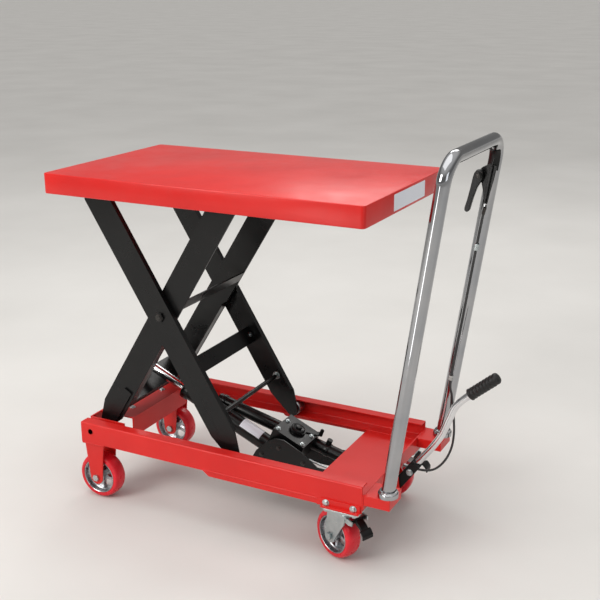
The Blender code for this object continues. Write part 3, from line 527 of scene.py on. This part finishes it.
def make_cable():
    """Sheathed cable, 0.835 m long, held on the leg by its adjuster and strap, with its end ferrules."""
    route = cable_route()
    swept("release_cable_sheath", route, CABLE_R, CABLE, "base", 5, ("release_cable",))
    swept("cable_ferrule_top", route[:5], 0.0042, OXIDE, "base")
    swept("cable_ferrule_bottom", route[-6:], 0.0043, ZINC, "base")
    for name, z, radius, tall, material in (("adjuster", ADJUSTER_Z, 0.0064, 0.017, ZINC),
                                            ("strap", STRAP_Z, 0.0058, 0.012, NYLON)):
        i = min(range(len(route)), key=lambda k: abs(route[k].z - z))
        along = (route[i + 1] - route[i - 1]).normalized()
        rounded = 0.0014
        ring = [(0.0031, -tall / 2), (radius - rounded, -tall / 2), (radius, -tall / 2 + rounded),
                (radius, -tall * 0.12), (radius - 0.0008, -tall * 0.08), (radius - 0.0008, tall * 0.08),
                (radius, tall * 0.12), (radius, tall / 2 - rounded), (radius - rounded, tall / 2),
                (0.0031, tall / 2)]
        piece(f"cable_{name}", aimed(turned(ring, steps=40), route[i], along), material, "base")


def make_lever():
    """Horn-shaped bracket strapped to the leg, with a pressed lever that has a curled finger end."""
    pivot = JOINT_AT["release_pull"]
    low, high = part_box("release_lever")
    wall = HANDLE_Y - HANDLE_R - 0.0003
    horn = [(0.5500, 0.8235), (0.5590, 0.8235), (0.5640, 0.8500), (0.5720, 0.8820), (0.5780, 0.9160),
            (0.5600, 0.9195), (0.5440, 0.9110), (0.5345, 0.9010), (0.5330, 0.8870), (0.5430, 0.8720),
            (0.5480, 0.8480)]
    plate = slab([(DECK_X + x, z) for x, z in horn], wall - 0.0040, wall - 0.0001)
    rib = slab([(DECK_X + x, z) for x, z in ((0.5515, 0.8250), (0.5560, 0.8250), (0.5660, 0.8900),
                                             (0.5700, 0.9150), (0.5650, 0.9150), (0.5600, 0.8900))],
               wall - 0.0120, wall - 0.0030)
    boss = turned([(0, 0), (0.0075, 0), (0.0075, 0.0018), (0.0042, 0.0030), (0.0042, 0.0240), (0, 0.0240)],
                  "Y", 32)
    boss.transform(Matrix.Translation((pivot.x, 0.1437, pivot.z)))
    piece("release_bracket_horn", joined(plate, rib, boss), BLACK, "base", bevel=0.0010,
          replaces=("lever_bracket",))
    blade = [(0.0085, 0.0100), (0.0040, 0.0135), (-0.0060, 0.0130), (-0.0120, 0.0050), (-0.0150, -0.0060),
             (-0.0200, -0.0320), (-0.0262, -0.0600), (-0.0318, -0.0800), (-0.0316, -0.0865),
             (-0.0268, -0.0900), (-0.0215, -0.0878), (-0.0188, -0.0820), (-0.0125, -0.0560),
             (-0.0040, -0.0300), (0.0080, -0.0080)]
    bm = slab([(pivot.x + x, pivot.z + z) for x, z in blade], low.y + 0.0001, high.y - 0.0001)
    piece("release_lever_blade", bm, BLACK, "release", bevel=0.0016,
          replaces=("release_lever",))
    bolt("release_pivot_nut", (pivot.x, 0.1436, pivot.z), (0, -1, 0), "base", 0.0052, 0.0030, washer=1.2,
         material=OXIDE)
    make_saddle()


def make_saddle():
    """Black half sleeve on the inside of the leg, from the bracket up into the bend."""
    bend = 0.055
    length = (HANDLE_HIGH.z - HANDLE_R - HANDLE_FOOT.z) / HANDLE_UP.z
    start = (0.905 - HANDLE_FOOT.z) / HANDLE_UP.z
    line = [(HANDLE_Y, start + (length - bend - start) * i / 6, 0.0) for i in range(6)]
    line += [(HANDLE_Y - bend + bend * cos(radians(a)), length - bend + bend * sin(radians(a)), radians(a))
             for a in range(0, 41, 4)]
    bm = bmesh.new()
    rings = []
    for y, d, lean in line:
        spot = HANDLE_FOOT + HANDLE_UP * d + Vector((0, y, 0))
        inward = Vector((0, -cos(lean), 0)) - HANDLE_UP * sin(lean)
        front = Vector((-HANDLE_UP.z, 0, HANDLE_UP.x))
        rim = [*[(HANDLE_R + 0.0017, a) for a in range(-52, 53, 8)],
               *[(HANDLE_R + 0.0001, a) for a in range(52, -53, -8)]]
        rings.append([bm.verts.new(spot + (inward * cos(radians(a)) + front * sin(radians(a))) * r)
                      for r, a in rim])
    for first, second in zip(rings, rings[1:]):
        for i in range(len(first)):
            j = (i + 1) % len(first)
            bm.faces.new((first[i], first[j], second[j], second[i]))
    bm.faces.new(rings[0])
    bm.faces.new(list(reversed(rings[-1])))
    piece("release_saddle", bm, BLACK, "base", sharp=40.0)


make_cable()
make_lever()


# ---------------------------------------------------------------- pedal
PEDAL_BAR_R = 0.0088
GRIP_PITCH = 0.0096
GRIP_RIBS = 7


def make_pedal():
    """Cranked chrome bar, ribbed grip and the clevis bolt."""
    pivot = JOINT_AT["pedal_stroke"]
    along = Vector((0.0500, 0, 0.0695)).normalized()

    def at(x, z):
        return Vector((DECK_X + x, 0, z))

    grip_start = at(0.592, 0.405)
    grip_along = Vector((0.070, 0, 0.0602)).normalized()
    seat = pivot + along * 0.0940
    knots = [seat, at(0.500, 0.2455), at(0.526, 0.287), at(0.5445, 0.334), at(0.560, 0.371), grip_start,
             grip_start + grip_along * 0.020]
    bar = [pivot + along * 0.0605, *smooth_route(knots, 60), grip_start + grip_along * 0.066]
    swept("pedal_bar", bar, PEDAL_BAR_R, ROD_CHROME, "pedal", 8, ("pedal_tube",))
    profile = [(0.0092, 0.0), (0.0138, 0.0), (0.0150, 0.0012), (0.0150, 0.0035), (0.0136, 0.0048)]
    for i in range(GRIP_RIBS):
        h = 0.0062 + i * GRIP_PITCH
        profile += [(0.0132, h), (0.0140, h + 0.0010), (0.0145, h + 0.0026), (0.0145, h + 0.0056),
                    (0.0140, h + 0.0072), (0.0132, h + 0.0082)]
    profile += [(0.0138, 0.0755), (0.0142, 0.0775), (0.0138, 0.0810), (0.0118, 0.0838), (0.0080, 0.0854),
                (0.0040, 0.0859), (0, 0.0860), (0, 0.0690), (0.0092, 0.0690)]
    grip = aimed(turned(profile, steps=64), grip_start, grip_along)
    piece("pedal_grip_rubber", grip, RUBBER, "pedal", sharp=50.0, replaces=("pedal_grip",))
    for side in SIDES.values():
        bolt(f"pedal_clevis_bolt_{'near' if side < 0 else 'far'}", (DECK_X + 0.4530, side * 0.0125, 0.1775),
             (0, side, 0), "pedal", 0.0074, 0.0038, washer=1.15)
        bolt(f"pedal_pin_end_{'near' if side < 0 else 'far'}", (pivot.x, side * 0.0185, pivot.z),
             (0, side, 0), "base", 0.0062, 0.0030, washer=1.3)


def make_brake(end_name):
    """Pressed brake pedal: hinge tube, narrow arm and a ribbed foot pad."""
    hinge, axis = JOINT_AT[f"brake_press_{end_name}"], JOINT_AXIS[f"brake_press_{end_name}"]
    place = Matrix.Translation(hinge) @ Matrix.Rotation(atan2(-axis.x, axis.y), 4, "Z")
    arm = slab([(-0.004, 0.0035), (0.004, 0.0044), (0.018, -0.006), (0.0300, -0.0190), (0.0270, -0.0225),
                (0.014, -0.012), (0.000, -0.0044)], -0.0105, 0.0105)
    pad = slab([(0.0245, -0.0125), (0.0300, -0.0165), (0.0358, -0.0250), (0.0358, -0.0338), (0.0330, -0.0338),
                (0.0322, -0.0262), (0.0275, -0.0195), (0.0230, -0.0158)], -0.0158, 0.0158)
    ribs = [slab([(0.0352, z), (0.0362, z), (0.0362, z - 0.0016), (0.0352, z - 0.0016)], -0.0130, 0.0130)
            for z in (-0.0262, -0.0290, -0.0318)]
    tube = turned([(0, -0.0209), (0.0038, -0.0209), (0.0044, -0.0203), (0.0044, 0.0203), (0.0038, 0.0209),
                   (0, 0.0209)], "Y", 32)
    piece(f"brake_lever_{end_name}", joined(arm, pad, tube, *ribs), BLACK, f"brake_{end_name}",
          place, bevel=0.0006, replaces=(f"brake_pedal_{end_name}",))


make_pedal()
for end_name in SIDES:
    make_brake(end_name)


# ---------------------------------------------------------------- ram and pump
RAM_AT = JOINT_AT["ram_swing"]
RAM_ALONG = JOINT_AXIS["ram_extend"]
RAM_PLACE = Matrix.Translation(RAM_AT) @ Matrix.Rotation(asin(RAM_ALONG.z), 4, "Y")


def make_ram():
    """Black cylinder with its gland and blank label, and the bright rod. X runs back from the rod eye."""
    r, end = 0.0229, -0.359
    bore = 0.0131
    tube = [(0, 0.0138), (r - 0.002, 0.0138), (r, 0.012), (r, end + 0.0215), (r + 0.0012, end + 0.0205),
            (0.0259, end + 0.0190), (0.0259, end + 0.0030), (0.0245, end + 0.0004), (0.0180, end + 0.0004),
            (0.0172, end + 0.0016), (0.0150, end + 0.0016), (bore, end + 0.0004), (bore, -0.085), (0, -0.085)]
    eye = slab(arc((0, 0), 0.0208, 0, 350, 35), -0.0254, 0.0254)
    bmesh.ops.bevel(eye, geom=[e for e in eye.edges if abs(e.verts[0].co.y - e.verts[1].co.y) < 1e-6],
                    offset=0.0012, segments=2, affect="EDGES")
    piece("ram_cylinder_body", joined(turned(tube, "X", 72), eye), BLACK, "ram", RAM_PLACE,
          replaces=("ram_cylinder",))
    label = [*arc((0, 0), r + 0.0003, -22, 62, 14), *reversed(arc((0, 0), r - 0.0001, -22, 62, 14))]
    bm = slab([(-a, b) for b, a in label], -0.168, -0.104, "X")
    piece("ram_blank_label", bm, LABEL, "ram", RAM_PLACE, sharp=60.0)
    rod_r = 0.0124
    eye_x = -0.49996
    rod = [(0, -0.200), (rod_r, -0.200), (rod_r, eye_x + 0.030), (rod_r - 0.0010, eye_x + 0.0292),
           (rod_r - 0.0010, eye_x + 0.0262), (rod_r, eye_x + 0.0254), (rod_r, eye_x + 0.010),
           (0, eye_x + 0.010)]
    eye = slab([(eye_x + a, b) for a, b in arc((0, 0), 0.0178, 0, 350, 35)], -0.0124, 0.0124)
    pin = slab([(eye_x + a, b) for a, b in arc((0, 0), 0.0069, 0, 345, 23)], -0.0240, 0.0240)
    heads = [slab([(eye_x + a, b) for a, b in arc((0, 0), 0.0171, 0, 350, 35)], low, low + 0.0044)
             for low in (0.0204, -0.0248)]
    piece("piston_rod_bright", joined(turned(rod, "X", 64), eye, pin, *heads), ROD_CHROME, "piston",
          RAM_PLACE, replaces=("piston_rod",))


def make_pump_fittings():
    """Cap screws, filler cap, plugs, release arm, reservoir bands, cover bolts and the link rod."""
    spots = [(-0.064, -0.028), (0.010, -0.028), (-0.064, 0.024), (0.010, 0.026)]
    for n, (x, y) in enumerate(spots):
        cap = aimed(bolt_shape(0.0046, 0.0040, 1.3), (x, y, 0.078), (0, 0, 1))
        piece(f"pump_cap_screw_{n}", cap, ZINC, "ram", RAM_PLACE, sharp=30.0)
    ring = [(0.0085, 0), (0.0190, 0), (0.0190, 0.0025), (0.0170, 0.0042), (0.0150, 0.0046), (0.0110, 0.0030),
            (0.0085, 0.0030)]
    cap = aimed(joined(turned(ring, steps=48), hexagon_profile(0.0088, 0.0085)), (-0.027, 0.012, 0.0849),
                (0, 0, 1))
    piece("pump_filler_cap", cap, BLACK, "ram", RAM_PLACE, sharp=30.0)
    for n, x in enumerate((-0.050, -0.006)):
        plug = aimed(joined(turned([(0, 0), (0.0095, 0), (0.0095, 0.002), (0.0085, 0.003), (0, 0.003)],
                                   steps=32), hexagon_profile(0.0072, 0.0085)), (x, -0.0379, 0.050),
                     (0, -1, 0))
        piece(f"pump_side_plug_{n}", plug, ZINC if n else BLACK, "ram", RAM_PLACE, sharp=30.0)
    arm = slab([(-0.040, 0.026), (-0.030, 0.034), (0.006, 0.050), (0.018, 0.062), (0.028, 0.060),
                (0.030, 0.050), (0.020, 0.042), (-0.006, 0.026), (-0.012, 0.020)], 0.0782, 0.0812, "Z")
    stand = slab([(0.019, 0.0790), (0.029, 0.0790), (0.029, 0.0960), (0.026, 0.0990), (0.022, 0.0990),
                  (0.019, 0.0960)], 0.0500, 0.0530)
    piece("pump_release_arm", joined(arm, stand), BLACK, "ram", RAM_PLACE, bevel=0.0006)
    for n, x in enumerate((-0.255, -0.215, 0.060)):
        strap = turned([(0.0166, -0.006), (0.0178, -0.006), (0.0182, -0.004), (0.0182, 0.004),
                        (0.0178, 0.006), (0.0166, 0.006)], "X", 48)
        lean = atan2(0.0636, 0.3749)
        along = (x + 0.2722) / cos(lean)
        centre = Vector((-0.2722 + along * cos(lean), 0.046, 0.0010 + along * sin(lean)))
        strap.transform(Matrix.Translation(centre) @ Matrix.Rotation(-lean, 4, "Y"))
        piece(f"reservoir_band_{n}", strap, BLACK, "ram", RAM_PLACE, sharp=30.0)
    for n, (x, z) in enumerate(((0.062, 0.160), (0.112, 0.188), (0.182, 0.160))):
        bolt(f"cradle_cover_bolt_{n}", (DECK_X + x, -0.0559, z), (0, -1, 0), "base", 0.0046, 0.0032,
             material=OXIDE)
    link = [(DECK_X + 0.150, -0.0205, 0.163), (DECK_X + 0.190, -0.0205, 0.152),
            (DECK_X + 0.262, -0.0205, 0.140), (DECK_X + 0.298, -0.0205, 0.136)]
    swept("release_link_rod", smooth_route(link, 24), 0.0028, ZINC, "base", 4)


make_ram()
make_pump_fittings()


# ---------------------------------------------------------------- fasteners
def arm_point(origin, direction, along, across):
    """A point in an arm's plane: along its length, and across it towards its upper edge."""
    upright = Vector((-direction.z, 0, direction.x))
    return origin + direction * along + upright * across


BASE_PIVOT = JOINT_AT["scissor_lift"]
CENTRE = JOINT_AT["scissor_cross"]
TOP_PIVOT = JOINT_AT["deck_level"]
INNER_ALONG = (CENTRE - BASE_PIVOT).normalized()
OUTER_ALONG = (CENTRE - TOP_PIVOT).normalized()


def make_fasteners():
    for end_name, side in SIDES.items():
        out = (0, side, 0)
        face = side * 0.2125
        for n, x in enumerate((0.322, 0.392)):
            bolt(f"caster_flange_bolt_{end_name}_{n}", (DECK_X + x, face, 0.1605), out, "base", 0.0062,
                 0.0042)
        hub = middle(f"caster_plate_{end_name}")
        plate_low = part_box(f"caster_plate_{end_name}")[0].z
        turn_at = JOINT_AT[f"swivel_turn_{end_name}"]
        for n, (dx, dy) in enumerate(((-0.038, -0.034), (0.034, -0.034), (-0.038, 0.034), (0.034, 0.034))):
            bolt(f"caster_plate_nut_{end_name}_{n}", (hub.x + dx, turn_at.y + dy, plate_low + 0.0075),
                 (0, 0, -1), "base", 0.0056, 0.0044)
        race = [(0.0293, -0.0012), (0.0306, -0.0012), (0.0312, 0), (0.0306, 0.0022), (0.0293, 0.0022)]
        bm = turned(race, steps=72)
        bm.transform(Matrix.Translation((turn_at.x, turn_at.y, plate_low + 0.0012)))
        piece(f"caster_race_{end_name}", bm, ZINC, "base")
        bolt(f"centre_pin_bolt_{end_name}", (CENTRE.x, side * 0.1653, CENTRE.z), out, "outer_arms", 0.0070,
             0.0022, washer=1.3, material=OXIDE)
        brace = arm_point(TOP_PIVOT, OUTER_ALONG, 0.5445, 0.0021)
        bolt(f"brace_bolt_{end_name}", (brace.x, side * 0.146, brace.z),
             Vector((-OUTER_ALONG.z, 0, OUTER_ALONG.x)), "outer_arms", 0.0050, 0.0036)
        rod = middle("tie_rod")
        bolt(f"tie_rod_nut_{end_name}", (rod.x, side * 0.1546, rod.z), (0, -side, 0), "outer_arms", 0.0092,
             0.0070, washer=1.2)
        bolt(f"crossmember_bolt_{end_name}", (DECK_X - 0.331, side * 0.070, 0.2193), (0, 0, 1), "base",
             0.0055, 0.0038)
        ring = [(0.0058, 0), (0.0094, 0), (0.0094, 0.0012), (0.0058, 0.0012)]
        for kind in ("upper", "lower"):
            roller = middle(f"{kind}_roller_{end_name}")
            clip = aimed(turned(ring, steps=32), (roller.x, side * 0.2006, roller.z), out)
            piece(f"{kind}_roller_clip_{end_name}", clip, ZINC,
                  "inner_arms" if kind == "upper" else "outer_arms", sharp=30.0)


RAIL_SHELF_Z = 0.1777
RAIL_FACE_Y = 0.2085
RAIL_WEB = 0.0040
RAIL_BOTTOM_Z = 0.1633


def make_rails():
    """Roller channels with rolled bends, the deeper lip towards the handle, and the caster's mount."""
    for end_name, side in SIDES.items():
        low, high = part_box(f"base_rail_{end_name}")
        x0, x1 = low.x + 0.00005, high.x - 0.00005
        top, bottom, face = high.z, RAIL_BOTTOM_Z, RAIL_FACE_Y
        shelf, web = RAIL_SHELF_Z, RAIL_WEB
        channel = [(face, bottom + 0.0006), *arc((face - 0.004, top - 0.004), 0.004, 0, 90, 8),
                   (0.1785, top), (0.1785, top - 0.003),
                   *reversed(arc((face - web - 0.0015, top - 0.0045), 0.0015, 0, 90, 4)),
                   (face - web, shelf + 0.0015),
                   *reversed(arc((face - web - 0.0015, shelf + 0.0015), 0.0015, 270, 360, 4)),
                   (0.168, shelf), (0.168, shelf - 0.003), (face - web, shelf - 0.003),
                   (face - web, bottom), (face - 0.0006, bottom)]
        body = slab([(side * y, z) for y, z in channel], x0, x1, "X")
        mount_low = low.z
        lip = slab([(DECK_X - 0.0310, 0.1700), (DECK_X - 0.0060, mount_low + 0.0012),
                    (DECK_X - 0.0040, mount_low), (x1 - 0.001, mount_low), (x1 - 0.001, 0.1700)],
                   side * (face - 0.0006), side * (face - web - 0.0004))
        mount = slab([(DECK_X + 0.311, side * 0.134), (DECK_X + 0.4085, side * 0.134),
                      (DECK_X + 0.4085, side * 0.2214), (DECK_X + 0.311, side * 0.2214)], mount_low,
                     mount_low + 0.0045, "Z")
        backing = slab([(DECK_X + 0.297, mount_low + 0.001), (DECK_X + 0.408, mount_low + 0.001),
                        (DECK_X + 0.408, 0.1700), (DECK_X + 0.308, 0.1700)], side * (face - 0.001),
                       side * 0.2124)
        fold = slab([(side * y, z) for y, z in ((0.2080, 0.1634), (0.2092, 0.1640), (0.2097, 0.1652),
                                                (0.2092, 0.1664), (0.2080, 0.1672))], DECK_X - 0.027,
                    DECK_X + 0.2960, "X")
        piece(f"rail_channel_{end_name}", joined(body, lip, mount, backing, fold), RED, "base",
              bevel=0.0006, replaces=(f"base_rail_{end_name}",))


make_fasteners()
make_rails()


# ---------------------------------------------------------------- welds
def make_welds():
    wall_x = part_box("rear_plate")[1].x
    for end_name, side in SIDES.items():
        low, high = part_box(f"handle_socket_{end_name}")
        inner = low.y if side > 0 else high.y
        outer = high.y if side > 0 else low.y
        weld_bead(f"socket_weld_{end_name}", (low.x + 0.0002, inner + side * 0.004, high.z - 0.0005),
                  (low.x + 0.0002, outer - side * 0.004, high.z - 0.0005), 0.0016, "base")
        fork_low, fork_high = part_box(f"fixed_fork_{end_name}")
        weld_bead(f"fork_weld_{end_name}", (fork_low.x + 0.003, side * 0.2080, fork_high.z - 0.0002),
                  (fork_high.x - 0.003, side * 0.2080, fork_high.z - 0.0002), 0.0015, "base")
    plate_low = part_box("rear_plate")[0]
    for end_name, side in SIDES.items():
        weld_bead(f"floor_weld_{end_name}", (plate_low.x + 0.004, side * 0.1679, 0.1776),
                  (wall_x - 0.006, side * 0.1679, 0.1776), 0.0013, "base")
        aside = Vector((0, side * 0.1364, 0))
        weld_bead(f"beam_weld_{end_name}", arm_point(BASE_PIVOT, INNER_ALONG, 0.1030, 0.031) + aside,
                  arm_point(BASE_PIVOT, INNER_ALONG, 0.1030, -0.031) + aside, 0.0018, "inner_arms", BLACK)


make_welds()


# ---------------------------------------------------------------- blank label on the deck's end
def make_deck_label():
    wide, tall, radius = 0.192, 0.038, 0.002
    y0, z0 = -0.090, DECK_LOW.z + 0.0065
    corners = [(y0 + wide - radius, z0 + tall - radius, 0), (y0 + radius, z0 + tall - radius, 90),
               (y0 + radius, z0 + radius, 180), (y0 + wide - radius, z0 + radius, 270)]
    outline = [p for cy, cz, a in corners for p in arc((cy, cz), radius, a, a + 90, 5)]
    bm = slab(outline, DECK_HIGH.x - 0.00005, DECK_HIGH.x + 0.00035, "X")
    piece("deck_blank_label", bm, LABEL, "deck")


make_deck_label()


# ---------------------------------------------------------------- floor, light and camera
FLOOR_HALF = 200.0
FLOOR_DROP = 0.0003           # keeps the floor clear of the tyres
# name, place, what it faces, (width, height), watts, colour
AREA_LIGHTS = (
    ("overhead", (-0.3, -0.4, 3.8), (0, 0, 0.3), (3.8, 3.2), 50.0, (1.0, 0.99, 0.97)),
    ("key", (-2.0, -3.6, 2.5), (0, 0, 0.4), (1.9, 1.7), 96.0, (1.0, 0.98, 0.95)),
    ("fill", (3.6, -2.2, 1.8), (0.1, 0, 0.4), (1.6, 1.6), 14.0, (0.96, 0.98, 1.0)),
    ("rim", (-0.6, 3.4, 3.4), (0, 0, 0.5), (2.4, 1.2), 34.0, (1.0, 0.98, 0.96)),
    ("strip", (-0.10, -1.50, 0.42), (0.50, -0.25, 0.42), (0.22, 0.80), 2.2, (1.0, 0.99, 0.97)),
)
GLOSS_ONLY = ("strip",)
# the room's grey from straight down, 0, to straight up, 1
ROOM_GREYS = ((0.0, 0.30), (0.495, 0.56), (0.51, 0.56), (0.55, 0.26), (0.68, 0.24), (0.82, 0.80), (1.0, 1.0))
ROOM_STRENGTH = 0.92
CAMERA_AZIMUTH = radians(27.1141)
CAMERA_ELEVATION = radians(17.5537)
CAMERA_ROLL = radians(-0.1521)
CAMERA_PLACE = (DECK_X + 1.23635, -2.12846, 1.33046)
LENS_MM = 60.8115
SENSOR_MM = 36.0


def make_stage():
    bm = bmesh.new()
    bmesh.ops.create_grid(bm, x_segments=8, y_segments=8, size=FLOOR_HALF)
    mesh = bpy.data.meshes.new("floor")
    bm.to_mesh(mesh)
    bm.free()
    mesh.materials.append(FLOOR)
    floor = bpy.data.objects.new("floor", mesh)
    floor.location.z = -FLOOR_DROP
    bpy.context.scene.collection.objects.link(floor)


def add_area(name, place, target, size, power, colour):
    light = bpy.data.lights.new(name, "AREA")
    light.shape = "RECTANGLE"
    light.size, light.size_y = size
    light.energy = power
    light.color = colour
    made = bpy.data.objects.new(name, light)
    made.location = place
    aim = Vector(target) - Vector(place)
    made.rotation_euler = aim.to_track_quat("-Z", "Y").to_euler()
    bpy.context.scene.collection.objects.link(made)
    return made


def make_light():
    """Soft overhead box, a key from the front left, a weak fill, a rim light and a streak for the chrome."""
    for row in AREA_LIGHTS:
        made = add_area(*row)
        if made.name in GLOSS_ONLY:
            made.visible_diffuse = False


def make_room():
    """Pale surroundings that the glossy surfaces reflect, darker above the horizon."""
    world = bpy.data.worlds.new("pale_room")
    bpy.context.scene.world = world
    world.use_nodes = True
    tree = world.node_tree
    coords = tree.nodes.new("ShaderNodeTexCoord")
    split = tree.nodes.new("ShaderNodeSeparateXYZ")
    tree.links.new(coords.outputs["Generated"], split.inputs["Vector"])
    level = tree.nodes.new("ShaderNodeMapRange")
    level.inputs["From Min"].default_value = -1.0
    level.inputs["From Max"].default_value = 1.0
    tree.links.new(split.outputs["Z"], level.inputs["Value"])
    ramp = tree.nodes.new("ShaderNodeValToRGB")
    elements = ramp.color_ramp.elements
    while len(elements) < len(ROOM_GREYS):
        elements.new(0.5)
    for element, (at, grey) in zip(elements, ROOM_GREYS):
        element.position = at
        element.color = (grey, grey * 0.985, grey * 0.965, 1.0)
    tree.links.new(level.outputs["Result"], ramp.inputs["Fac"])
    background = tree.nodes["Background"]
    tree.links.new(ramp.outputs["Color"], background.inputs["Color"])
    background.inputs["Strength"].default_value = ROOM_STRENGTH
    bpy.context.scene.view_settings.view_transform = "Standard"


def make_camera():
    """Three-quarter view from the push-handle end."""
    azimuth, elevation, roll = CAMERA_AZIMUTH, CAMERA_ELEVATION, CAMERA_ROLL
    back = Vector((sin(azimuth) * cos(elevation), -cos(azimuth) * cos(elevation), sin(elevation)))
    right = Vector((cos(azimuth), sin(azimuth), 0))
    up = back.cross(right)
    tilted_right = right * cos(roll) + up * sin(roll)
    tilted_up = up * cos(roll) - right * sin(roll)
    camera = bpy.data.cameras.new("camera")
    camera.sensor_width = SENSOR_MM
    camera.lens = LENS_MM
    made = bpy.data.objects.new("camera", camera)
    turn = Matrix((tilted_right, tilted_up, back)).transposed().to_4x4()
    made.matrix_world = Matrix.Translation(CAMERA_PLACE) @ turn
    bpy.context.scene.collection.objects.link(made)
    bpy.context.scene.camera = made


make_stage()
make_light()
make_room()
make_camera()
